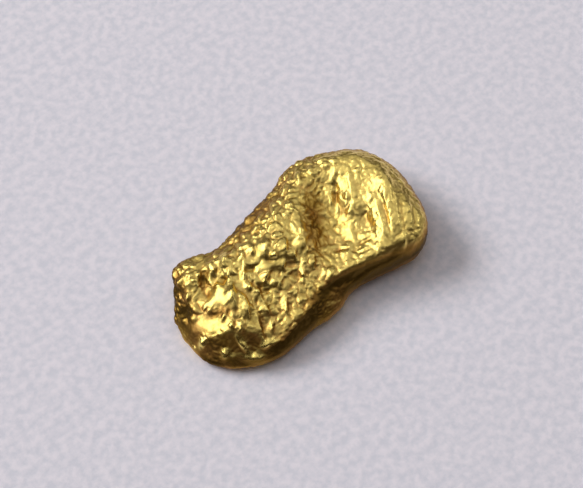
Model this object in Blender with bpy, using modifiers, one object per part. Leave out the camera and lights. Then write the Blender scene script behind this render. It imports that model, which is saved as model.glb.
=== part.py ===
"""A native gold nugget about 12 mm long, lying on its worn underside.

It is one piece of metal, so it is one solid: a bean-shaped slab with a broad, smooth end at +X and a
gnarled, narrower end at -X. An ico sphere is pressed to the slab's outline, crown and underside and
evened out by a voxel remesh. Then it is worked like a sculpture: a ledge and lumps on the -Y wall,
cobbles with creases between them, wrinkles on the broad end, and the flat pads that it stands on. Run
it with blender --background --python part.py, or from the text editor.
"""

import math

import bpy
import numpy as np
from mathutils import Vector, noise

MM = 0.001  # metres in a millimetre: every size below is in millimetres

# The slab's outline at its widest, anticlockwise from the middle of the broad end. Each point has x, y,
# its height, the height of the wall's steep foot, the wall's slope in degrees above that, and how round
# the wall is: 0 where it is broken off crisply, 1 where it is worn round
OUTLINE = (
    (5.95, -0.60, 1.0, 1.6, 46, 0.4), (5.95, 1.00, 1.0, 1.6, 48, 0.4), (5.25, 2.50, 1.0, 1.6, 48, 0.4),
    (3.75, 3.40, 1.0, 1.6, 46, 0.7), (2.20, 3.70, 1.0, 1.7, 45, 1.0), (0.75, 3.22, 1.0, 1.7, 45, 1.0),
    (-0.75, 2.85, 1.0, 1.6, 45, 0.9), (-2.25, 2.46, 1.0, 1.5, 45, 0.9), (-3.05, 2.45, 1.0, 1.5, 45, 0.9),
    (-3.85, 2.72, 1.1, 1.5, 45, 0.8), (-4.75, 2.75, 1.0, 1.4, 45, 0.6), (-5.42, 1.75, 0.8, 1.2, 46, 0.4),
    (-6.03, 0.78, 0.5, 0.7, 46, 0.1), (-6.17, -0.45, 0.35, 0.5, 47, 0.0),
    (-6.00, -1.40, 0.3, 0.45, 42, 0.0), (-5.45, -2.20, 0.3, 0.45, 40, 0.0),
    (-4.54, -2.80, 0.3, 0.45, 42, 0.0), (-3.22, -3.18, 0.3, 0.75, 48, 0.0),
    (-1.45, -2.98, 0.3, 0.8, 48, 0.0), (0.00, -2.82, 0.4, 0.8, 46, 0.0),
    (1.34, -2.58, 0.5, 1.1, 45, 0.0), (3.00, -2.84, 0.5, 1.4, 45, 0.0),
    (4.33, -2.97, 0.6, 1.45, 45, 0.0), (5.42, -2.25, 0.9, 1.7, 46, 0.2),
)
OUTLINE_STEPS = 8  # points of the smooth curve from each outline point to the next

CRISP_BELLY = 0.45  # radius of the bulge of the wall's foot
ROUND_BELLY = 1.50
CRISP_EDGE = 0.06  # height over which wall and crown blend into each other
ROUND_EDGE = 0.90
UNDERSIDE_BELLY = 0.60
UNDERSIDE_EDGE = 0.50

# Points that the crown passes through: x, y, height
CROWN = (
    # its rim along the -Y side, from the broad end's corner to the narrow end's tip
    (4.9, -2.4, 1.85), (3.9, -2.75, 1.75), (2.8, -2.4, 1.8), (1.9, -2.15, 1.7), (1.0, -1.95, 1.65),
    (0.15, -1.8, 1.5), (-0.6, -2.05, 1.4), (-2.0, -2.45, 1.25), (-3.4, -2.75, 1.05), (-4.1, -2.2, 1.3),
    (-4.9, -1.3, 1.35), (-5.3, -0.8, 1.15), (-5.8, 0.05, 0.9),
    # and on along the +Y side and back to that corner
    (-5.3, 0.6, 1.25), (-5.5, 1.3, 1.2), (-4.7, 2.0, 1.5), (-3.8, 2.1, 1.65), (-3.0, 1.9, 1.8),
    (-2.2, 1.9, 1.85), (-0.7, 2.3, 1.95), (0.8, 2.8, 2.0), (2.0, 3.1, 1.95), (3.5, 2.9, 2.05),
    (4.7, 2.2, 2.1), (5.5, 1.0, 2.1), (5.6, -0.6, 2.05), (5.6, -1.6, 1.95),
    # the broad end's crest and the long slope from it down to the valley
    (4.9, 0.8, 2.15), (4.3, -0.5, 2.1), (3.8, -1.6, 1.95),
    (3.9, 1.6, 2.0), (3.3, 0.4, 1.75), (2.7, -0.7, 1.55), (2.1, -1.5, 1.55),
    # the valley between the ends
    (2.9, 2.2, 1.8), (2.2, 1.1, 1.5), (1.5, 0.0, 1.4), (0.95, -1.0, 1.45),
    # the middle
    (1.2, 1.7, 2.0), (0.5, 0.3, 1.95), (0.0, -0.8, 1.7), (-0.9, 0.3, 1.95), (-1.1, -1.1, 1.55),
    (-2.1, 0.6, 1.85), (-2.3, -0.6, 1.6), (-2.5, -1.5, 1.4),
    # the narrow end
    (-3.4, -0.35, 1.8), (-4.05, -0.05, 1.6), (-4.7, 0.35, 1.45), (-3.7, 0.9, 1.6), (-4.35, -1.3, 1.5),
    (-4.85, -0.6, 1.35), (-3.3, -1.9, 1.2),
)

# Folds (+) and creases (-) of the crown: x, y, half-length, half-width, turn in degrees, height
FOLDS = (
    (3.05, 0.10, 1.20, 0.28, 55, 0.14),  # the broad end's inner fold
    (4.10, -1.00, 1.60, 0.32, 60, 0.14),  # the outer crest
    (4.55, -1.75, 0.90, 0.28, 49, 0.06),  # and the fold outside that
    (4.95, -0.05, 0.75, 0.40, 35, 0.08),  # the crest's end
    (3.10, -0.90, 0.40, 0.22, 62, -0.12),  # the pit between the folds
    (0.60, 0.30, 0.95, 0.30, 67, 0.08),  # the middle's sharp crest
    (0.15, 0.75, 0.80, 0.22, 62, -0.12),  # the crease behind it
    (-0.95, 0.30, 0.70, 0.44, 53, 0.16),  # the middle's mass
    (-1.20, -0.35, 0.55, 0.20, -37, -0.10),  # the crease before it
    (-3.00, 0.00, 0.70, 0.33, -79, -0.08),  # the hollow beside the narrow end's worn top
    (-4.25, 0.85, 0.80, 0.28, 30, -0.12),  # the crease behind the knob
    (-5.00, 1.75, 0.60, 0.42, 44, 0.26),  # the knob
    (-2.95, 1.00, 0.60, 0.31, 49, 0.16),  # the second knob
)

# The underside's height above the surface it lies on, and its swells. What would reach below that
# surface is worn away, which leaves the flat pads that it stands on
UNDERSIDE_HEIGHT = 0.16
UNDERSIDE = (
    (3.4, 0.0, 2.4, 1.9, 57, -0.34),  # the broad end's pad
    (-4.0, -0.7, 1.9, 1.5, -20, -0.34),  # the narrow end's pad
    (-0.4, -1.4, 1.3, 0.9, 10, -0.30),  # the middle's pad
    (1.6, 1.8, 0.9, 0.6, 20, 0.20),  # a hollow between them
)
WORN_BELOW = 0.02  # points lower than this are on a pad

# Lumps (+) and pits (-) of the surface: x, y, z, radius, height
LUMPS = (
    (0.1, -2.9, 0.55, 0.40, 0.15),  # the ledge low on the -Y wall
    (-0.6, -3.0, 0.50, 0.40, 0.15),
    (-5.2, -2.2, 0.8, 0.30, 0.12),  # lumps on the wall
    (-4.3, -2.8, 0.7, 0.28, 0.12),
)

# The relief
NOISE_SEED = 3  # the pattern of the lumps: any whole number gives one, always the same
COBBLE_SIZE = 0.75
COBBLE_HEIGHT = 0.12
WRINKLE_WIDTH = 0.42
WRINKLE_LENGTH = 1.5
WRINKLE_HEIGHT = 0.03
BROAD_END = (2.0, 1.0, 57)  # x, y and turn of the line where the broad end's worn surface begins
BROKEN_SIDE = (-0.6, -0.8, 0)  # the way the broken wall faces
CALM_BROAD = 0.7  # share of the cobbles' height that the broad end has lost
CALM_WALL = 0.85  # share that the broken wall lacks

VOXEL = 0.085
TRIANGLES = 9800

GOLD = (0.96, 0.68, 0.20, 1)
ROUGHNESS = 0.3


def smooth_outline():
    """The outline as a smooth closed curve through its points."""
    points = np.array(OUTLINE)
    before, after, beyond = (np.roll(points, shift, axis=0) for shift in (1, -1, -2))
    steps = []
    for step in range(OUTLINE_STEPS):
        t = step / OUTLINE_STEPS
        square = 2 * before - 5 * points + 4 * after - beyond
        cube = 3 * points - before - 3 * after + beyond
        steps.append((2 * points + (after - before) * t + square * t**2 + cube * t**3) / 2)
    return np.stack(steps, axis=1).reshape(-1, 6)


def depth_inside(x, y, curve):
    """The distance of each point from the outline's nearest stretch."""
    nearest = np.full_like(x, np.inf)
    for start, end in zip(curve, np.roll(curve, -1, axis=0)):
        run_x, run_y = end[:2] - start[:2]
        share = ((x - start[0]) * run_x + (y - start[1]) * run_y) / (run_x**2 + run_y**2)
        share = np.clip(share, 0, 1)
        distance = np.hypot(x - start[0] - run_x * share, y - start[1] - run_y * share)
        nearest = np.minimum(nearest, distance)
    return nearest


def along_and_across(x, y, centre_x, centre_y, turn):
    """Coordinates along and across a direction that is turned this many degrees from +X."""
    c, s = math.cos(math.radians(turn)), math.sin(math.radians(turn))
    return (x - centre_x) * c + (y - centre_y) * s, (y - centre_y) * c - (x - centre_x) * s


def bend(distance):
    """How far a thin plate bends at this distance from a point that lifts it."""
    return distance**2 * np.log(np.maximum(distance, 1e-9))


def crown_height(x, y):
    """The smooth surface through the crown's points, as a thin plate bends, with the folds on it."""
    points = np.array(CROWN)
    level = np.column_stack([np.ones(len(points)), points[:, :2]])
    apart = np.hypot(points[:, None, 0] - points[:, 0], points[:, None, 1] - points[:, 1])
    plate = np.block([[bend(apart), level], [level.T, np.zeros((3, 3))]])
    weights = np.linalg.solve(plate, np.append(points[:, 2], (0, 0, 0)))
    height = weights[-3] + weights[-2] * x + weights[-1] * y
    for (centre_x, centre_y, _), weight in zip(CROWN, weights):
        height += weight * bend(np.hypot(x - centre_x, y - centre_y))
    return height + swelled(x, y, 0, FOLDS)


def swelled(x, y, level, swells):
    """A level with its swells and hollows."""
    height = np.full_like(x, level)
    for centre_x, centre_y, half_length, half_width, turn, rise in swells:
        along, across = along_and_across(x, y, centre_x, centre_y, turn)
        height += rise * np.exp(-((along / half_length) ** 2) - (across / half_width) ** 2)
    return height


def wall_height(depth, belly, foot, slope):
    """The wall's height above the outline, at this depth inside it: its foot's bulge, then its slope."""
    foot_depth = belly * (1 - math.sqrt(0.5))
    bulge = np.sqrt(2 - 2 * (1 - np.minimum(depth, foot_depth) / belly) ** 2)
    return foot * bulge + np.maximum(depth - foot_depth, 0) * slope


def soft_lower(a, b, softness):
    """The lower of two heights, blended where they are within this distance of each other."""
    share = np.clip(0.5 + 0.5 * (b - a) / softness, 0, 1)
    return b + (a - b) * share - softness * share * (1 - share)


def press_slab(ball):
    """Points of a unit ball, moved to the slab's surface."""
    curve = smooth_outline()
    angles = np.arctan2(curve[:, 1], curve[:, 0])
    turn = np.arctan2(ball[:, 1], ball[:, 0])
    reach = np.interp(turn, angles, np.hypot(curve[:, 0], curve[:, 1]), period=2 * math.pi)
    waist = np.interp(turn, angles, curve[:, 2], period=2 * math.pi)
    foot = np.interp(turn, angles, curve[:, 3], period=2 * math.pi)
    slope = np.tan(np.radians(np.interp(turn, angles, curve[:, 4], period=2 * math.pi)))
    share = np.clip(np.hypot(ball[:, 0], ball[:, 1]), 0, 1)
    x, y = reach * share * np.cos(turn), reach * share * np.sin(turn)
    depth = depth_inside(x, y, curve)
    roundness = np.clip(np.interp(turn, angles, curve[:, 5], period=2 * math.pi), 0, 1)
    belly = CRISP_BELLY + (ROUND_BELLY - CRISP_BELLY) * roundness
    edge = CRISP_EDGE + (ROUND_EDGE - CRISP_EDGE) * roundness
    crown = crown_height(x, y)
    top = soft_lower(crown, waist + wall_height(depth, belly, foot - waist, slope), edge)
    underside = swelled(x, y, UNDERSIDE_HEIGHT, UNDERSIDE)
    drop = wall_height(depth, UNDERSIDE_BELLY, UNDERSIDE_BELLY * math.sqrt(0.5), 1)
    bottom = waist - soft_lower(waist - underside, drop, UNDERSIDE_EDGE)
    z = np.where(ball[:, 2] > 0, np.maximum(top, waist), np.minimum(bottom, waist))
    return np.stack([x, y, z], axis=1)


def points_of(mesh):
    flat = np.empty(len(mesh.vertices) * 3, np.float32)
    mesh.vertices.foreach_get("co", flat)
    return flat.reshape(-1, 3).astype(float) / MM


def normals_of(mesh):
    flat = np.empty(len(mesh.vertices) * 3, np.float32)
    mesh.vertices.foreach_get("normal", flat)
    return flat.reshape(-1, 3).astype(float)


def set_points(mesh, points):
    mesh.vertices.foreach_set("co", (points * MM).astype(np.float32).ravel())
    mesh.update()


def raise_by(mesh, heights):
    set_points(mesh, points_of(mesh) + normals_of(mesh) * heights[:, None])


def lumps(points):
    heights = np.zeros(len(points))
    for *centre, radius, rise in LUMPS:
        heights += rise * np.exp(-np.sum((points - centre) ** 2, axis=1) / radius**2)
    return heights


def broad_share(points):
    """0 on the gnarled middle and narrow end, 1 on the broad end's worn surface."""
    _, across = along_and_across(points[:, 0], points[:, 1], *BROAD_END)
    share = np.clip(0.3 - across / 1.5, 0, 1)
    return share**2 * (3 - 2 * share)


def cobbles(points, size, seed):
    """Rounded lumps of about this size, packed with creases between them: 0 in a crease, 1 on a lump."""
    offset = Vector((seed * 7.3, seed * 3.1, seed * 5.7))
    heights = []
    for point in points:
        place = Vector(point) / size + offset
        place += noise.noise_vector(place * 0.7) * 0.5
        near = noise.voronoi(place)[0]
        heights.append(min(1.0, (near[1] - near[0]) * 1.6))
    return np.sqrt(np.array(heights))


def wrinkles(points, width, length, seed):
    """Long low folds that run along the valley between the ends, from -1 to 1."""
    along, across = along_and_across(points[:, 0], points[:, 1], *BROAD_END)
    places = np.stack([across / width, along / length, points[:, 2] / width + seed], axis=1)
    return np.array([noise.noise(Vector(place) + noise.noise_vector(place) * 0.4) for place in places])


def apply_modifiers(obj):
    graph = bpy.context.evaluated_depsgraph_get()
    made = bpy.data.meshes.new_from_object(obj.evaluated_get(graph))
    obj.modifiers.clear()
    old, obj.data = obj.data, made
    bpy.data.meshes.remove(old)


def add_modifier(obj, name, kind, **settings):
    modifier = obj.modifiers.new(name, kind)
    for setting, value in settings.items():
        setattr(modifier, setting, value)


def even_out(nugget, voxel):
    add_modifier(nugget, "even_mesh", "REMESH", mode="VOXEL", voxel_size=voxel * MM)
    apply_modifiers(nugget)


def build(voxel):
    """The slab with the lumps of its walls."""
    bpy.ops.mesh.primitive_ico_sphere_add(subdivisions=7, radius=MM)
    nugget = bpy.context.object
    nugget.name = "nugget"
    set_points(nugget.data, press_slab(points_of(nugget.data)))
    even_out(nugget, voxel)
    raise_by(nugget.data, lumps(points_of(nugget.data)))
    return nugget


def relief(nugget):
    """Cobbles all over, calmer on the broad end and the broken wall, and wrinkles on the broad end."""
    points = points_of(nugget.data)
    broad = broad_share(points)
    wall = np.clip(1.5 * normals_of(nugget.data) @ BROKEN_SIDE, 0, 1)
    height = COBBLE_HEIGHT * (1 - CALM_BROAD * broad) * (1 - CALM_WALL * wall)
    heights = (cobbles(points, COBBLE_SIZE, 3) - 0.6) * height
    heights += wrinkles(points, WRINKLE_WIDTH, WRINKLE_LENGTH, 2) * WRINKLE_HEIGHT * broad
    raise_by(nugget.data, heights)


def wear_pads(nugget):
    points = points_of(nugget.data)
    points[points[:, 2] < WORN_BELOW, 2] = 0
    set_points(nugget.data, points)


def thin_out(nugget, triangles):
    """Fewer, larger triangles where the surface is calm."""
    now = sum(len(face.vertices) - 2 for face in nugget.data.polygons)
    add_modifier(nugget, "fewer_triangles", "DECIMATE", ratio=triangles / now, use_collapse_triangulate=True)
    apply_modifiers(nugget)


def centre(nugget):
    points = points_of(nugget.data)
    middle = (points.min(axis=0) + points.max(axis=0)) / 2
    set_points(nugget.data, points - (middle[0], middle[1], 0))


def gold():
    material = bpy.data.materials.new("gold")
    material.use_nodes = True
    shader = material.node_tree.nodes["Principled BSDF"].inputs
    shader["Base Color"].default_value = GOLD
    shader["Metallic"].default_value = 1
    shader["Roughness"].default_value = ROUGHNESS
    return material


def main():
    for obj in list(bpy.data.objects):
        bpy.data.objects.remove(obj)
    noise.seed_set(NOISE_SEED)
    nugget = build(VOXEL)
    relief(nugget)
    wear_pads(nugget)
    even_out(nugget, VOXEL)
    thin_out(nugget, TRIANGLES)
    wear_pads(nugget)
    centre(nugget)
    nugget.data.materials.append(gold())
    nugget.data.shade_smooth()


if __name__ == "__main__":
    main()
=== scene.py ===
"""A gold nugget on white paper: the nugget's skin down to its fine grain, and the stage.

The part gives the nugget's form. This script makes a denser skin from it, works the fine relief
into the skin's points, stains its hollows, paints shade low on its walls and in patches, paints
its foot lighter, and lays it on paper under soft lamps. The relief and the tables are in
millimetres and degrees; the properties are in metres and radians.
"""

import math

import bpy
import numpy as np
from bpy.props import FloatProperty, FloatVectorProperty, IntProperty, PointerProperty
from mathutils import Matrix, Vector, noise


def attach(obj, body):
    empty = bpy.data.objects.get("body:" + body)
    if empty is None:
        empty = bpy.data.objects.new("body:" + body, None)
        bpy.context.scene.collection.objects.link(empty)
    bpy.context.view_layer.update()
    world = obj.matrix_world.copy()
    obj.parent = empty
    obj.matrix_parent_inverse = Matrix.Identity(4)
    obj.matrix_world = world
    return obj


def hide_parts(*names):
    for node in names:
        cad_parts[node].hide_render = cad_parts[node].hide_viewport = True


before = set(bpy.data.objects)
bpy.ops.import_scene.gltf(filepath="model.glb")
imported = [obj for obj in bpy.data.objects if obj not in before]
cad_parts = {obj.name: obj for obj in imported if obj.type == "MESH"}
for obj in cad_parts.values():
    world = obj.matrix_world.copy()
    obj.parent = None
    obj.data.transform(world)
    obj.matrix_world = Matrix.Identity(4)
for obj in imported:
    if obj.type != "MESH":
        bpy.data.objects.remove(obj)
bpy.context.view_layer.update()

bl_info = {
    "name": "Gold Nugget",
    "version": (1, 0, 0),
    "blender": (4, 5, 0),
    "location": "3D View > Sidebar > Nugget",
    "description": "Makes a native gold nugget and the paper that it lies on",
    "category": "Object",
}

MM = 0.001
IMAGE_WIDTH, IMAGE_HEIGHT = 583, 488  # pixels
ORIGIN_PIXEL = (294.0, 261.5)  # where the frame's origin shows in the image


# Properties -------------------------------------------------------------------------------------

LENGTH = {"unit": "LENGTH", "precision": 6, "min": 0}
COLOUR = {"subtype": "COLOR", "size": 4, "min": 0, "max": 1}
SHARE = {"subtype": "FACTOR", "min": 0, "max": 1}


class NuggetRelief(bpy.types.PropertyGroup):
    """Sizes of the nugget's skin"""

    mesh_size: FloatProperty(
        name="Mesh size", description="Spacing of the skin's points", default=0.048 * MM, **LENGTH
    )
    smoothing: IntProperty(
        name="Smoothing", description="Passes that round the facets away", default=10, min=0
    )
    lump_seed: IntProperty(
        name="Lump seed", description="Chooses where the small lumps lie", default=2, min=1
    )
    relief_share: FloatProperty(
        name="Relief share", description="Of the full height of scales, creases and wall lumps",
        default=1, **SHARE
    )
    cobble_size: FloatProperty(
        name="Cobble size", description="Spacing of the small lumps", default=0.5 * MM, **LENGTH
    )
    cobble_height: FloatProperty(
        name="Cobble height", description="Lump above its creases", default=0.08 * MM, **LENGTH
    )
    pebble_size: FloatProperty(
        name="Pebble size", description="Spacing of the finest lumps", default=0.27 * MM, **LENGTH
    )
    pebble_height: FloatProperty(
        name="Pebble height", description="Of the finest lumps", default=0.035 * MM, **LENGTH
    )
    fold_width: FloatProperty(
        name="Fold width", description="Across the broad end's folds", default=0.2 * MM, **LENGTH
    )
    fold_length: FloatProperty(
        name="Fold length", description="Along the broad end's folds", default=0.8 * MM, **LENGTH
    )
    fold_height: FloatProperty(
        name="Fold height", description="Of the broad end's folds", default=0.01 * MM, **LENGTH
    )
    hollow_depth: FloatProperty(
        name="Hollow depth", description="Depth that is fully stained", default=0.05 * MM, **LENGTH
    )
    # Painted lighter foot: below this height the stain and painted shade fade toward the paper
    foot_height: FloatProperty(
        name="Foot height", description="Walls are rubbed cleaner below it",
        default=1.2 * MM, **LENGTH
    )
    # Painted shade: up to this height the steep walls are painted fully dark
    painted_shade_height: FloatProperty(
        name="Dirt height", description="Up to it walls are fully dirty",
        default=0.9 * MM, **LENGTH
    )


class GoldFinish(bpy.types.PropertyGroup):
    """Colours and polish of the gold"""

    bright: FloatVectorProperty(
        name="Bright", description="Worn gold", default=(1.0, 0.77, 0.22, 1), **COLOUR
    )
    # Also the colour of the painted shade patches
    stained: FloatVectorProperty(
        name="Stained", description="Gold in the hollows",
        default=(0.46, 0.265, 0.045, 1), **COLOUR
    )
    rusty: FloatVectorProperty(
        name="Rusty", description="Iron stain in some hollows",
        default=(0.55, 0.28, 0.075, 1), **COLOUR
    )
    # Painted shade: the dark colour painted low on the steep walls and in the darkest patches
    painted_shade_colour: FloatVectorProperty(
        name="Dirty", description="Dirt on the walls", default=(0.14, 0.08, 0.015, 1), **COLOUR
    )
    rust_size: FloatProperty(
        name="Rust size", description="Of the iron stain's patches", default=0.9 * MM, **LENGTH
    )
    worn_roughness: FloatProperty(
        name="Worn roughness", description="On the lumps", default=0.27, **SHARE
    )
    stained_roughness: FloatProperty(
        name="Stained roughness", description="In the hollows", default=0.48, **SHARE
    )
    grain_size: FloatProperty(
        name="Grain size", description="Of the finest pitting", default=0.1 * MM, **LENGTH
    )
    grain_height: FloatProperty(
        name="Grain height", description="Of the finest pitting", default=0.006 * MM, **LENGTH
    )


class StageLook(bpy.types.PropertyGroup):
    """The paper, the room and the camera"""

    paper: FloatVectorProperty(
        name="Paper", description="Its fibres", default=(0.96, 0.915, 1.0, 1), **COLOUR
    )
    paper_shade: FloatVectorProperty(
        name="Paper shade", description="Between the fibres",
        default=(0.80, 0.795, 0.89, 1), **COLOUR
    )
    tooth_size: FloatProperty(
        name="Tooth size", description="Of the paper's grain", default=0.35 * MM, **LENGTH
    )
    tooth_height: FloatProperty(
        name="Tooth height", description="Of the paper's grain", default=0.012 * MM, **LENGTH
    )
    sheet_size: FloatProperty(
        name="Sheet size", description="Side of the sheet", default=1000 * MM, **LENGTH
    )
    azimuth: FloatProperty(
        name="Azimuth", description="Camera's turn round the nugget",
        default=math.radians(-36.66), subtype="ANGLE"
    )
    elevation: FloatProperty(
        name="Elevation", description="Camera above the paper",
        default=math.radians(65), subtype="ANGLE"
    )
    pixels_per_mm: FloatProperty(
        name="Pixels per mm", description="Scale of the image", default=22.7, min=1
    )
    lens: FloatProperty(
        name="Lens", description="Focal length in millimetres", default=100, min=1, unit="CAMERA"
    )
    room_colour: FloatVectorProperty(
        name="Room colour", description="Of the dim room", default=(1.0, 0.60, 0.25, 1), **COLOUR
    )
    room_light: FloatProperty(
        name="Room light", description="Strength of the dim room", default=0.03, min=0
    )


# Meshes as arrays -------------------------------------------------------------------------------


def points_of(mesh):
    """The mesh's points in millimetres."""
    flat = np.empty(len(mesh.vertices) * 3, np.float32)
    mesh.vertices.foreach_get("co", flat)
    return flat.reshape(-1, 3).astype(float) / MM


def normals_of(mesh):
    """The normals at the mesh's points."""
    flat = np.empty(len(mesh.vertices) * 3, np.float32)
    mesh.vertices.foreach_get("normal", flat)
    return flat.reshape(-1, 3).astype(float)


def set_points(mesh, points):
    """Moves the mesh's points to these places in millimetres."""
    mesh.vertices.foreach_set("co", (points * MM).astype(np.float32).ravel())
    mesh.update()


def raise_by(mesh, heights):
    """Moves each point along its normal by its own height in millimetres."""
    set_points(mesh, points_of(mesh) + normals_of(mesh) * heights[:, None])


def smoothed(mesh, values, passes):
    """Values at the mesh's points, each averaged with its neighbours this many times."""
    ends = np.empty(len(mesh.edges) * 2, np.int32)
    mesh.edges.foreach_get("vertices", ends)
    a, b = ends.reshape(-1, 2).T
    count = np.bincount(a, minlength=len(values)) + np.bincount(b, minlength=len(values))
    for _ in range(passes):
        sums = [
            np.bincount(a, column[b], len(values)) + np.bincount(b, column[a], len(values))
            for column in values.T
        ]
        values = (values + np.stack(sums, axis=1) / count[:, None]) / 2
    return values


def apply_modifiers(obj):
    """Makes the object's modifiers part of its mesh."""
    graph = bpy.context.evaluated_depsgraph_get()
    made = bpy.data.meshes.new_from_object(obj.evaluated_get(graph))
    obj.modifiers.clear()
    old, obj.data = obj.data, made
    bpy.data.meshes.remove(old)


# The nugget's relief ----------------------------------------------------------------------------

BROKEN_SIDE = (-0.6, -0.8, 0)  # the broken wall faces this way
BROAD_END = (1.9, 0.9, 57)  # x, y and turn of the line where the broad end's worn surface begins
BROAD_ON_LINE, BROAD_BLEND = 0.3, 1.5  # its share on that line, and the width over which it fades

PATTERN_STEP = (7.3, 3.1, 5.7)  # between the patterns of one noise
COBBLE_PATTERN, PEBBLE_PATTERN, FOLD_PATTERN = 3, 5, 7
LUMP_BEND_SIZE, LUMP_BEND = 0.7, 0.5  # how often and how far the lumps' creases wander
LUMP_FLANK, LUMP_POWER = 1.6, 0.7  # the rise from a crease, and its roundness
LUMP_LEVEL = 0.6  # a lump's height that leaves the surface where it was
FOLD_BEND = 0.4  # how far the folds wander

# The share of the small lumps that is taken away
CALM_ON_SCALES, SCALE_EDGE = 0.35, 0.04  # and the scale's height where that share is reached
CALM_WORN = 0.85  # on the worn patches
CALM_BROAD = 0.35  # on the broad end
CALM_COBBLES_ON_WALL, CALM_PEBBLES_ON_WALL = 0.75, 0.5  # on the broken wall


def along_and_across(x, y, centre_x, centre_y, turn):
    """Coordinates along and across a direction that is turned this many degrees from +X."""
    c, s = math.cos(math.radians(turn)), math.sin(math.radians(turn))
    return (x - centre_x) * c + (y - centre_y) * s, (y - centre_y) * c - (x - centre_x) * s


def broad_share(points):
    """0 on the gnarled middle and narrow end, 1 on the broad end's worn surface."""
    _, across = along_and_across(points[:, 0], points[:, 1], *BROAD_END)
    share = np.clip(BROAD_ON_LINE - across / BROAD_BLEND, 0, 1)
    return share**2 * (3 - 2 * share)


def cobbles(points, size, pattern):
    """Round lumps of about this size in millimetres: 0 in the creases between them, 1 on top."""
    offset = Vector([pattern * step for step in PATTERN_STEP])
    heights = []
    for point in points:
        place = Vector(point) / size + offset
        place += noise.noise_vector(place * LUMP_BEND_SIZE) * LUMP_BEND
        near = noise.voronoi(place)[0]
        heights.append(min(1.0, (near[1] - near[0]) * LUMP_FLANK))
    return np.array(heights) ** LUMP_POWER


def folds(points, width, length, pattern):
    """Long low folds that run along the valley between the ends, from -1 to 1."""
    along, across = along_and_across(points[:, 0], points[:, 1], *BROAD_END)
    places = np.stack([across / width, along / length, points[:, 2] / width + pattern], axis=1)
    return np.array(
        [noise.noise(Vector(place) + noise.noise_vector(place) * FOLD_BEND) for place in places]
    )


# Scales of metal on the upper side, each with a long flank to the left of its crest and a short
# steep one to the right: x and y of the crest's middle, its half-length, the left and the right
# flank's width, the crest's turn in degrees from +X, and its height
SCALES = (
    # the narrow end
    (-3.45, -0.35, 0.45, 1.15, 0.15, 62, 0.22),  # its worn top
    (-5.00, 0.85, 0.20, 0.30, 0.12, 53, 0.10), (-4.90, 1.60, 0.20, 0.45, 0.15, 49, 0.14),
    (-2.80, 1.20, 0.40, 0.40, 0.15, 44, 0.14), (-3.45, 1.10, 0.20, 0.30, 0.10, 49, 0.12),
    (-4.05, 1.35, 0.20, 0.25, 0.10, 53, 0.08), (-3.10, 0.50, 0.15, 0.20, 0.08, 62, 0.08),
    (-2.10, 0.85, 0.25, 0.25, 0.10, 62, 0.12), (-1.60, 0.80, 0.25, 0.40, 0.12, 62, 0.14),
    (-3.35, -1.20, 0.40, 0.55, 0.12, 62, 0.14), (-4.25, -1.35, 0.25, 0.35, 0.10, 53, 0.10),
    (-4.00, -1.65, 0.25, 0.30, 0.10, 53, 0.10), (-3.40, -2.15, 0.45, 0.45, 0.15, 72, 0.16),
    (-2.90, -2.35, 0.25, 0.30, 0.10, 58, 0.12), (-2.65, -1.65, 0.30, 0.35, 0.12, 80, 0.12),
    (-4.25, -0.80, 0.25, 0.35, 0.12, 35, 0.10), (-1.85, -1.95, 0.40, 0.25, 0.12, 58, 0.14),
    # the middle
    (-1.10, 0.50, 0.45, 0.55, 0.15, 49, 0.14), (-1.00, -0.05, 0.20, 0.35, 0.10, 53, 0.12),
    (-0.40, 0.05, 0.30, 0.40, 0.12, 53, 0.14), (-0.25, -0.40, 0.20, 0.25, 0.10, 53, 0.10),
    (-2.50, 0.20, 0.40, 0.25, 0.10, 58, 0.12), (-1.75, -0.45, 0.35, 0.40, 0.12, 35, 0.14),
    (-1.50, -1.05, 0.20, 0.45, 0.12, 44, 0.12), (-2.65, -0.45, 0.20, 0.35, 0.10, 76, 0.12),
    (-2.50, -0.85, 0.30, 0.35, 0.12, 76, 0.14), (-0.95, -0.55, 0.25, 0.35, 0.10, 44, 0.10),
    (0.50, 0.15, 0.60, 0.50, 0.35, 58, 0.10), (0.55, -2.00, 0.25, 0.50, 0.12, 35, 0.10),
    (0.25, -1.10, 0.20, 0.25, 0.10, 53, 0.10), (-0.45, -1.30, 0.20, 0.25, 0.10, 53, 0.10),
    (2.15, 2.55, 0.35, 0.30, 0.12, 58, 0.12),
    # the broad end
    (3.65, 0.75, 0.55, 0.50, 0.22, 62, 0.10), (3.20, 0.40, 0.50, 0.50, 0.22, 49, 0.12),
    (2.90, -0.15, 0.50, 0.45, 0.22, 40, 0.10), (2.70, 0.90, 0.45, 0.30, 0.15, 58, 0.07),
    (2.60, 0.30, 0.30, 0.35, 0.15, 58, 0.07), (3.40, 1.60, 0.30, 0.35, 0.15, 53, 0.07),
    (4.95, -0.15, 0.60, 0.90, 0.30, 67, 0.10), (4.00, -0.30, 0.40, 0.65, 0.25, 26, 0.06),
    (3.75, -1.30, 0.80, 0.60, 0.22, 70, 0.11), (3.45, -1.85, 0.50, 0.95, 0.25, 58, 0.10),
    (4.35, -1.65, 0.90, 0.55, 0.22, 58, 0.09), (4.95, -1.70, 0.30, 0.35, 0.15, 53, 0.09),
    (4.70, -2.20, 0.35, 0.40, 0.15, 53, 0.09), (3.95, -2.65, 0.30, 0.35, 0.15, 53, 0.10),
    (2.45, -0.80, 0.50, 0.55, 0.20, 72, 0.08), (1.80, -1.55, 0.45, 0.70, 0.20, 44, 0.08),
    (2.85, -2.30, 0.40, 0.90, 0.20, 44, 0.08),
)

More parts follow.
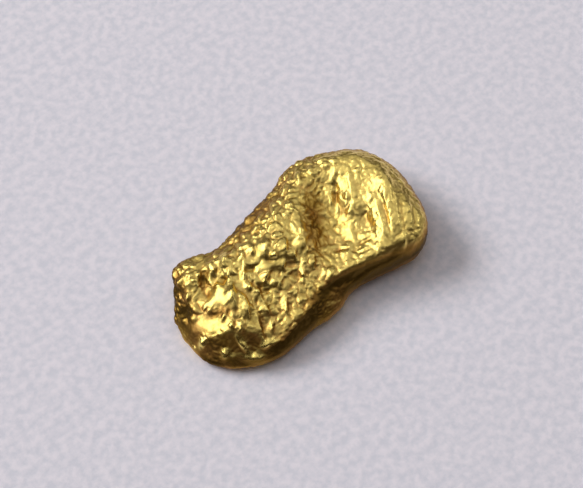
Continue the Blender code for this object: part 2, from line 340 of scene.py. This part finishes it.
# Creases and pits of the upper side: x, y, half-length, half-width, turn in degrees, depth
CREASES = (
    # the narrow end and the middle
    (-4.05, 1.00, 0.55, 0.18, 62, 0.16), (-3.40, 0.55, 0.25, 0.18, 62, 0.12),
    (-4.40, -0.65, 0.50, 0.14, -30, 0.07), (-5.55, 0.50, 0.35, 0.20, -40, 0.12),
    (-1.20, -0.15, 0.40, 0.15, -31, 0.12),
    (-0.65, -0.65, 0.22, 0.18, -37, 0.12), (-2.15, 0.10, 0.22, 0.18, -37, 0.12),
    (-0.80, -1.15, 0.22, 0.18, -37, 0.12), (-2.30, -0.75, 0.45, 0.14, -59, 0.10),
    (-2.95, -0.90, 0.35, 0.14, -69, 0.10),
    # the broad end
    (3.30, -0.75, 0.50, 0.22, 50, 0.07), (3.90, -1.35, 0.85, 0.13, 67, 0.10),
    (2.95, 0.95, 0.65, 0.13, 53, 0.10), (1.60, -1.30, 0.35, 0.10, -37, 0.06),
    (2.60, -1.65, 0.40, 0.10, -15, 0.06),
    # the notch under the -Y rim
    (2.20, -2.80, 1.60, 0.16, -13, 0.08), (-0.10, -2.42, 0.80, 0.16, 0, 0.08),
)

# Patches of the upper side that are worn smooth: x, y, half-length, half-width, turn in degrees
WORN = (
    (-5.20, -0.60, 1.00, 0.35, -37),  # along the narrow end's edge
    (-4.00, 0.00, 0.70, 0.45, -30),  # its worn top
    (-1.30, 0.60, 0.35, 0.45, -40),  # the middle's mass
)

# Lumps that stand out of the broken wall: x, y, half-length, half-width, turn in degrees, height
WALL_LUMPS = (
    (-4.35, -2.25, 0.32, 0.14, -79, 0.12), (-3.50, -2.80, 0.31, 0.14, -9, 0.12),
    (-5.65, -1.05, 0.20, 0.18, 26, 0.10), (-5.15, -2.05, 0.20, 0.18, -4, 0.10),
    (-4.25, -2.85, 0.53, 0.15, -37, 0.10),
)


def scales(x, y):
    """The height of the scales, the highest where they overlap."""
    height = np.zeros_like(x)
    for centre_x, centre_y, half_length, left, right, turn, rise in SCALES:
        along, across = along_and_across(x, y, centre_x, centre_y, turn)
        flank = np.maximum(1 - np.where(across > 0, across / left, -across / right), 0)
        height = np.maximum(height, rise * flank * np.exp(-((along / half_length) ** 2)))
    return height


def swells(x, y, shapes):
    """The summed height of soft oval swells, one for each row of the table."""
    height = np.zeros_like(x)
    for centre_x, centre_y, half_length, half_width, turn, rise in shapes:
        along, across = along_and_across(x, y, centre_x, centre_y, turn)
        height += rise * np.exp(-((along / half_length) ** 2) - (across / half_width) ** 2)
    return height


def calmed(x, y, upper, scale_height, broad):
    """The share of the small lumps that wear has left."""
    calm = 1 - CALM_ON_SCALES * upper * np.clip(scale_height / SCALE_EDGE, 0, 1)
    for centre_x, centre_y, half_length, half_width, turn in WORN:
        along, across = along_and_across(x, y, centre_x, centre_y, turn)
        calm *= 1 - CALM_WORN * np.exp(-((along / half_length) ** 4) - (across / half_width) ** 4)
    return calm * (1 - CALM_BROAD * broad)


def work_relief(mesh, relief):
    """Cobbles all over, scales and creases on the upper side, and lumps on the broken wall."""
    noise.seed_set(relief.lump_seed)
    points, normals = points_of(mesh), normals_of(mesh)
    x, y = points[:, 0], points[:, 1]
    broad = broad_share(points)
    upper = np.clip(2.5 * normals[:, 2] - 0.5, 0, 1)  # 1 up to a slope of 53 degrees, 0 from 78
    wall = np.clip(2 * normals @ BROKEN_SIDE - 0.3, 0, 1)  # 1 on the broken wall
    scale_height = scales(x, y)
    calm = calmed(x, y, upper, scale_height, broad)
    made = scale_height - swells(x, y, CREASES) + swells(x, y, WALL_LUMPS)
    raise_by(mesh, made * upper * relief.relief_share)
    lumps = cobbles(points_of(mesh), relief.cobble_size / MM, COBBLE_PATTERN) - LUMP_LEVEL
    left = calm * (1 - CALM_COBBLES_ON_WALL * wall)
    raise_by(mesh, lumps * left * relief.cobble_height / MM)
    width, length = relief.fold_width / MM, relief.fold_length / MM
    ridges = folds(points_of(mesh), width, length, FOLD_PATTERN)
    raise_by(mesh, ridges * broad * relief.fold_height / MM)
    lumps = cobbles(points_of(mesh), relief.pebble_size / MM, PEBBLE_PATTERN) - LUMP_LEVEL
    left = calm * (1 - CALM_PEBBLES_ON_WALL * wall)
    raise_by(mesh, lumps * left * relief.pebble_height / MM)
    points = points_of(mesh)
    points[:, 2] = np.maximum(points[:, 2], 0)
    set_points(mesh, points)


# Patches of painted shade: x, y, half-length, half-width, turn in degrees, share (a negative share
# paints the gold lighter)
SHADE_PATCHES = (
    (1.40, 0.50, 1.60, 0.45, 57, 0.50),  # the valley between the ends
    (-4.05, 1.00, 0.60, 0.25, 62, 0.10),  # behind the knob
    (-0.80, -1.15, 0.50, 0.30, 57, 0.15),  # a crease of the middle
    (-0.50, 2.20, 1.80, 0.55, 15, 0.35),  # the rounded +Y flank
    (-5.55, 0.50, 0.45, 0.25, -40, 0.90),  # the dark notch in the narrow end's edge
    (-4.30, -0.60, 0.60, 0.20, -30, 0.35),  # between the narrow end's worn top and its edge
    (-5.20, 1.70, 0.60, 0.50, 44, 0.30),  # the knob
    # under the -Y rim, from the broad end to the narrow one
    (2.20, -2.75, 1.70, 0.18, -13, 0.80), (-0.10, -2.42, 0.80, 0.18, 0, 0.80),
    (-1.20, -2.85, 0.60, 0.22, 21, 0.60), (-2.70, -3.15, 1.00, 0.22, 5, 0.60),
    (-4.40, -2.85, 0.80, 0.22, -30, 0.60), (-5.85, -1.85, 0.75, 0.30, -52, 0.90),
    (2.80, -3.30, 1.80, 0.25, -5, -0.60),  # painted lighter, low on the broad end, where the gold mirrors the paper
)

HOLLOW_PASSES = 12  # of smoothing, to tell a hollow from a lump
LEVEL_STAIN = 0.5  # where the surface is neither
GENTLE_PAINTED_SHADE = 0.15  # share of the painted wall shade where it isn't steep
FOOT_STAIN_AND_SHADE = 0.2  # share of stain and painted shade left at the ground: a painted lighter foot
WALL_LUMP_UNSHADING = 12  # stain and painted shade taken off for each millimetre of a wall lump's height, so the lumps glint


def mark_stain_and_shade(mesh, relief):
    """Stores the stain value: 0 on a lump, 1 in a hollow, up to 2 where shade is painted on the
    walls and in patches.
    """
    points, normals = points_of(mesh), normals_of(mesh)
    x, y, z = points.T
    sunk = np.sum((smoothed(mesh, points, HOLLOW_PASSES) - points) * normals, axis=1)
    stain = LEVEL_STAIN + 0.5 * sunk / (relief.hollow_depth / MM)
    steep = np.clip(4 - 4.5 * normals[:, 2], 0, 1)  # 0 up to a slope of 27 degrees, 1 from 48
    # Painted shade on the walls: full below the painted shade height, gone at twice it, strongest
    # where steep
    painted_shade = np.clip(2 - z / (relief.painted_shade_height / MM), 0, 1)
    stain += (GENTLE_PAINTED_SHADE + (1 - GENTLE_PAINTED_SHADE) * steep) * painted_shade
    # Painted lighter foot: stain and painted shade fade toward the paper, where the gold mirrors
    # it
    stain *= np.clip(FOOT_STAIN_AND_SHADE + z / (relief.foot_height / MM), 0, 1)
    # Painted shade patches, and painted shade left off the wall lumps so that they glint
    stain += swells(x, y, SHADE_PATCHES) - WALL_LUMP_UNSHADING * swells(x, y, WALL_LUMPS)
    attribute = mesh.attributes.new("stain", "FLOAT", "POINT")
    attribute.data.foreach_set("value", np.clip(stain, 0, 2).astype(np.float32))


def make_skin(relief):
    """The nugget with all its relief, made from the part's solid."""
    skin = bpy.data.objects.new("gold_nugget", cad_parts["nugget"].data.copy())
    bpy.context.scene.collection.objects.link(skin)
    skin.data.materials.clear()
    even = skin.modifiers.new("even_mesh", "REMESH")
    even.mode = "VOXEL"
    even.voxel_size = relief.mesh_size
    apply_modifiers(skin)
    set_points(skin.data, smoothed(skin.data, points_of(skin.data), relief.smoothing))
    work_relief(skin.data, relief)
    mark_stain_and_shade(skin.data, relief)
    skin.data.shade_smooth()
    return skin


# Materials --------------------------------------------------------------------------------------

GRAIN_DETAIL = 3  # finer scales of noise in the grain
GOLD_SHARPNESS, PAPER_SHARPNESS, MOTTLE_SHARPNESS = 0.6, 0.55, 0.5  # share of the finer scales
MOTTLE_SPAN = (0.35, 0.65)  # of the grain, from one colour to the other
STAIN_AND_SHADE_SPAN = (0.3, 1.0)  # of the stain value, from bright to stained gold; the painted shade patches reach it too
PAINTED_SHADE_SPAN = (0.8, 1.4)  # of the stain value, from stained gold to the painted wall shade


def new_group(name, inputs, outputs):
    """A shader node group with these sockets, and its input and output nodes."""
    group = bpy.data.node_groups.new(name, "ShaderNodeTree")
    for socket, kind in inputs:
        group.interface.new_socket(socket, in_out="INPUT", socket_type=kind)
    for socket, kind in outputs:
        group.interface.new_socket(socket, in_out="OUTPUT", socket_type=kind)
    return group, group.nodes.new("NodeGroupInput"), group.nodes.new("NodeGroupOutput")


def grain_group():
    """Fine grain that is the same on gold and paper: noise of this size, from 0 to 1."""
    if "fine_grain" in bpy.data.node_groups:
        return bpy.data.node_groups["fine_grain"]
    sockets = (
        ("Vector", "NodeSocketVector"),
        ("Size", "NodeSocketFloat"),
        ("Sharpness", "NodeSocketFloat"),
    )
    group, given, made = new_group("fine_grain", sockets, (("Height", "NodeSocketFloat"),))
    nodes, links = group.nodes, group.links
    scale = nodes.new("ShaderNodeMath")
    scale.operation = "DIVIDE"
    scale.inputs[0].default_value = 1
    links.new(given.outputs["Size"], scale.inputs[1])
    texture = nodes.new("ShaderNodeTexNoise")
    texture.inputs["Detail"].default_value = GRAIN_DETAIL
    links.new(given.outputs["Vector"], texture.inputs["Vector"])
    links.new(scale.outputs[0], texture.inputs["Scale"])
    links.new(given.outputs["Sharpness"], texture.inputs["Roughness"])
    links.new(texture.outputs["Fac"], made.inputs["Height"])
    return group


def add_grain(tree, size, sharpness):
    """The height of a grain of this size, on the object's own coordinates."""
    place = tree.nodes.new("ShaderNodeTexCoord")
    grain = tree.nodes.new("ShaderNodeGroup")
    grain.node_tree = grain_group()
    grain.inputs["Size"].default_value = size
    grain.inputs["Sharpness"].default_value = sharpness
    tree.links.new(place.outputs["Object"], grain.inputs["Vector"])
    return grain.outputs["Height"]


def add_ramp(tree, value, span, low=0, high=1, interpolation="LINEAR"):
    """Goes from low to high while the value goes through the span."""
    ramp = tree.nodes.new("ShaderNodeMapRange")
    ramp.interpolation_type = interpolation
    ramp.inputs["From Min"].default_value, ramp.inputs["From Max"].default_value = span
    ramp.inputs["To Min"].default_value = low
    ramp.inputs["To Max"].default_value = high
    tree.links.new(value, ramp.inputs["Value"])
    return ramp.outputs["Result"]


def add_blend(tree, share, first, second):
    """Goes from the first colour to the second; each is a fixed colour or a socket."""
    blend = tree.nodes.new("ShaderNodeMix")
    blend.data_type = "RGBA"
    for socket, colour in ((blend.inputs["A"], first), (blend.inputs["B"], second)):
        if isinstance(colour, bpy.types.NodeSocket):
            tree.links.new(colour, socket)
        else:
            socket.default_value = colour
    tree.links.new(share, blend.inputs["Factor"])
    return blend.outputs["Result"]


def add_mottle(tree, size, first, second):
    """Soft patches of two colours, of about this size."""
    grain = add_grain(tree, size, MOTTLE_SHARPNESS)
    return add_blend(tree, add_ramp(tree, grain, MOTTLE_SPAN), first, second)


def add_bump(tree, height, depth, shader):
    """Lets a height from 0 to 1 push the shader's surface by up to this depth."""
    bump = tree.nodes.new("ShaderNodeBump")
    bump.inputs["Strength"].default_value = 1
    bump.inputs["Distance"].default_value = depth
    tree.links.new(height, bump.inputs["Height"])
    tree.links.new(bump.outputs["Normal"], shader.inputs["Normal"])


def new_material(name):
    """A material with nodes, its node tree and its shader."""
    material = bpy.data.materials.new(name)
    material.use_nodes = True
    return material, material.node_tree, material.node_tree.nodes["Principled BSDF"]


def gold_material(finish):
    """Bare gold: bright where worn, stained in the hollows, with painted shade in patches and low
    on the walls and a painted lighter foot, finely pitted.
    """
    material, tree, shader = new_material("native_gold")
    shader.inputs["Metallic"].default_value = 1
    marked = tree.nodes.new("ShaderNodeAttribute")
    marked.attribute_name = "stain"
    stain = add_ramp(tree, marked.outputs["Fac"], STAIN_AND_SHADE_SPAN, interpolation="SMOOTHSTEP")
    # painted shade, from the top of the stain value's range
    painted_shade = add_ramp(tree, marked.outputs["Fac"], PAINTED_SHADE_SPAN)
    # stained gold, in the hollows and in the painted shade patches
    hollows = add_mottle(tree, finish.rust_size, finish.stained, finish.rusty)
    colour = add_blend(tree, stain, finish.bright, hollows)
    colour = add_blend(tree, painted_shade, colour, finish.painted_shade_colour)
    tree.links.new(colour, shader.inputs["Base Color"])
    polish = add_ramp(tree, stain, (0, 1), finish.worn_roughness, finish.stained_roughness)
    tree.links.new(polish, shader.inputs["Roughness"])
    add_bump(tree, add_grain(tree, finish.grain_size, GOLD_SHARPNESS), finish.grain_height, shader)
    return material


def paper_material(look):
    """White drawing paper with a fine tooth."""
    material, tree, shader = new_material("paper")
    shader.inputs["Roughness"].default_value = 0.9
    colour = add_mottle(tree, look.tooth_size, look.paper_shade, look.paper)
    tree.links.new(colour, shader.inputs["Base Color"])
    add_bump(tree, add_grain(tree, look.tooth_size, PAPER_SHARPNESS), look.tooth_height, shader)
    return material


# The stage --------------------------------------------------------------------------------------

SENSOR_WIDTH = 36  # millimetres
CLIP_START, CLIP_END = 1, 10000  # millimetres

# Lamps, seen from the camera: name, degrees to the right of straight ahead, elevation, and in
# millimetres the distance, width and height of the lit rectangle, its radiance, and whether gold
# mirrors it and whether paper is lit by it
LAMPS = (
    ("key_lamp", -76, 44, 400, 370, 195, 3.3, True, False),
    ("shadow_lamp", -68, 31, 800, 520, 240, 13.5, False, True),
    ("soft_lamp", -76, 62, 500, 600, 500, 0.32, True, True),
    ("far_lamp", 8, 60, 600, 800, 800, 0.44, True, True),
    ("top_lamp", 180, 82, 500, 450, 450, 0.14, True, True),
    ("right_lamp", 75, 33, 400, 380, 330, 0.30, True, True),
    ("side_lamp", 69, 45, 400, 90, 90, 2.0, True, False),
)


def direction(azimuth, elevation):
    """The unit vector that points away from the viewer at this azimuth, and up."""
    level = math.cos(elevation)
    return Vector((-math.sin(azimuth) * level, math.cos(azimuth) * level, math.sin(elevation)))


def aim(obj, towards):
    """Turns a lamp or camera to look this way."""
    obj.rotation_mode = "QUATERNION"
    obj.rotation_quaternion = towards.to_track_quat("-Z", "Y")


def add_lamp(
    azimuth, name, right, elevation, distance, width, height, radiance, on_gold, on_paper
):
    """A lit rectangle, from one row of LAMPS."""
    lamp = bpy.data.lights.new(name, "AREA")
    lamp.shape = "RECTANGLE"
    lamp.size = width * MM
    lamp.size_y = height * MM
    lamp.energy = radiance * math.pi * lamp.size * lamp.size_y
    obj = bpy.data.objects.new(name, lamp)
    obj.visible_glossy, obj.visible_diffuse = on_gold, on_paper
    bpy.context.scene.collection.objects.link(obj)
    away = direction(azimuth - math.radians(right), math.radians(elevation))
    obj.location = away * distance * MM
    aim(obj, -away)


def add_camera(look):
    """The camera, with the frame's origin at its own pixel of the image."""
    camera = bpy.data.cameras.new("camera")
    camera.lens = look.lens
    camera.sensor_width = SENSOR_WIDTH
    camera.clip_start, camera.clip_end = CLIP_START * MM, CLIP_END * MM
    camera.shift_x = (IMAGE_WIDTH / 2 - ORIGIN_PIXEL[0]) / IMAGE_WIDTH
    camera.shift_y = (ORIGIN_PIXEL[1] - IMAGE_HEIGHT / 2) / IMAGE_WIDTH
    obj = bpy.data.objects.new("camera", camera)
    bpy.context.scene.collection.objects.link(obj)
    distance = look.lens / SENSOR_WIDTH * IMAGE_WIDTH / look.pixels_per_mm * MM
    forward = direction(look.azimuth, -look.elevation)
    obj.location = -forward * distance
    aim(obj, forward)
    bpy.context.scene.camera = obj


def add_paper(look):
    """The sheet that the nugget lies on."""
    bpy.ops.mesh.primitive_plane_add(size=look.sheet_size)
    paper = bpy.context.object
    paper.name = "paper"
    paper.data.materials.append(paper_material(look))


def light_room(look):
    """The dim room round the sheet."""
    world = bpy.data.worlds.new("room")
    bpy.context.scene.world = world
    world.use_nodes = True
    background = world.node_tree.nodes["Background"]
    background.inputs["Color"].default_value = look.room_colour
    background.inputs["Strength"].default_value = look.room_light


# Operators --------------------------------------------------------------------------------------


class NUGGET_OT_nugget(bpy.types.Operator):
    """Makes the gold nugget"""

    bl_idname = "nugget.nugget"
    bl_label = "Gold nugget"

    def execute(self, context):
        skin = make_skin(context.scene.nugget_relief)
        skin.data.materials.append(gold_material(context.scene.gold_finish))
        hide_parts("nugget")
        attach(skin, "root")
        return {"FINISHED"}


class NUGGET_OT_stage(bpy.types.Operator):
    """Lays out the paper, the lamps and the camera"""

    bl_idname = "nugget.stage"
    bl_label = "Stage"

    def execute(self, context):
        look = context.scene.stage_look
        add_paper(look)
        for lamp in LAMPS:
            add_lamp(look.azimuth, *lamp)
        light_room(look)
        add_camera(look)
        context.scene.view_settings.view_transform = "Standard"
        return {"FINISHED"}


class NUGGET_PT_panel(bpy.types.Panel):
    """The nugget's sidebar panel"""

    bl_idname = "NUGGET_PT_panel"
    bl_label = "Gold Nugget"
    bl_space_type = "VIEW_3D"
    bl_region_type = "UI"
    bl_category = "Nugget"

    def draw(self, context):
        for operator in (NUGGET_OT_nugget, NUGGET_OT_stage):
            self.layout.operator(operator.bl_idname)
        for name in GROUPS:
            group = getattr(context.scene, name)
            box = self.layout.box()
            for prop in group.__annotations__:
                box.prop(group, prop)


GROUPS = {"nugget_relief": NuggetRelief, "gold_finish": GoldFinish, "stage_look": StageLook}
OPERATORS = (NUGGET_OT_nugget, NUGGET_OT_stage)
CLASSES = (*GROUPS.values(), *OPERATORS, NUGGET_PT_panel)


def register():
    for cls in CLASSES:
        bpy.utils.register_class(cls)
    for name, group in GROUPS.items():
        setattr(bpy.types.Scene, name, PointerProperty(type=group))


def unregister():
    for name in GROUPS:
        delattr(bpy.types.Scene, name)
    for cls in reversed(CLASSES):
        bpy.utils.unregister_class(cls)


def main():
    register()
    bpy.ops.nugget.nugget()
    bpy.ops.nugget.stage()


if __name__ == "__main__":
    main()
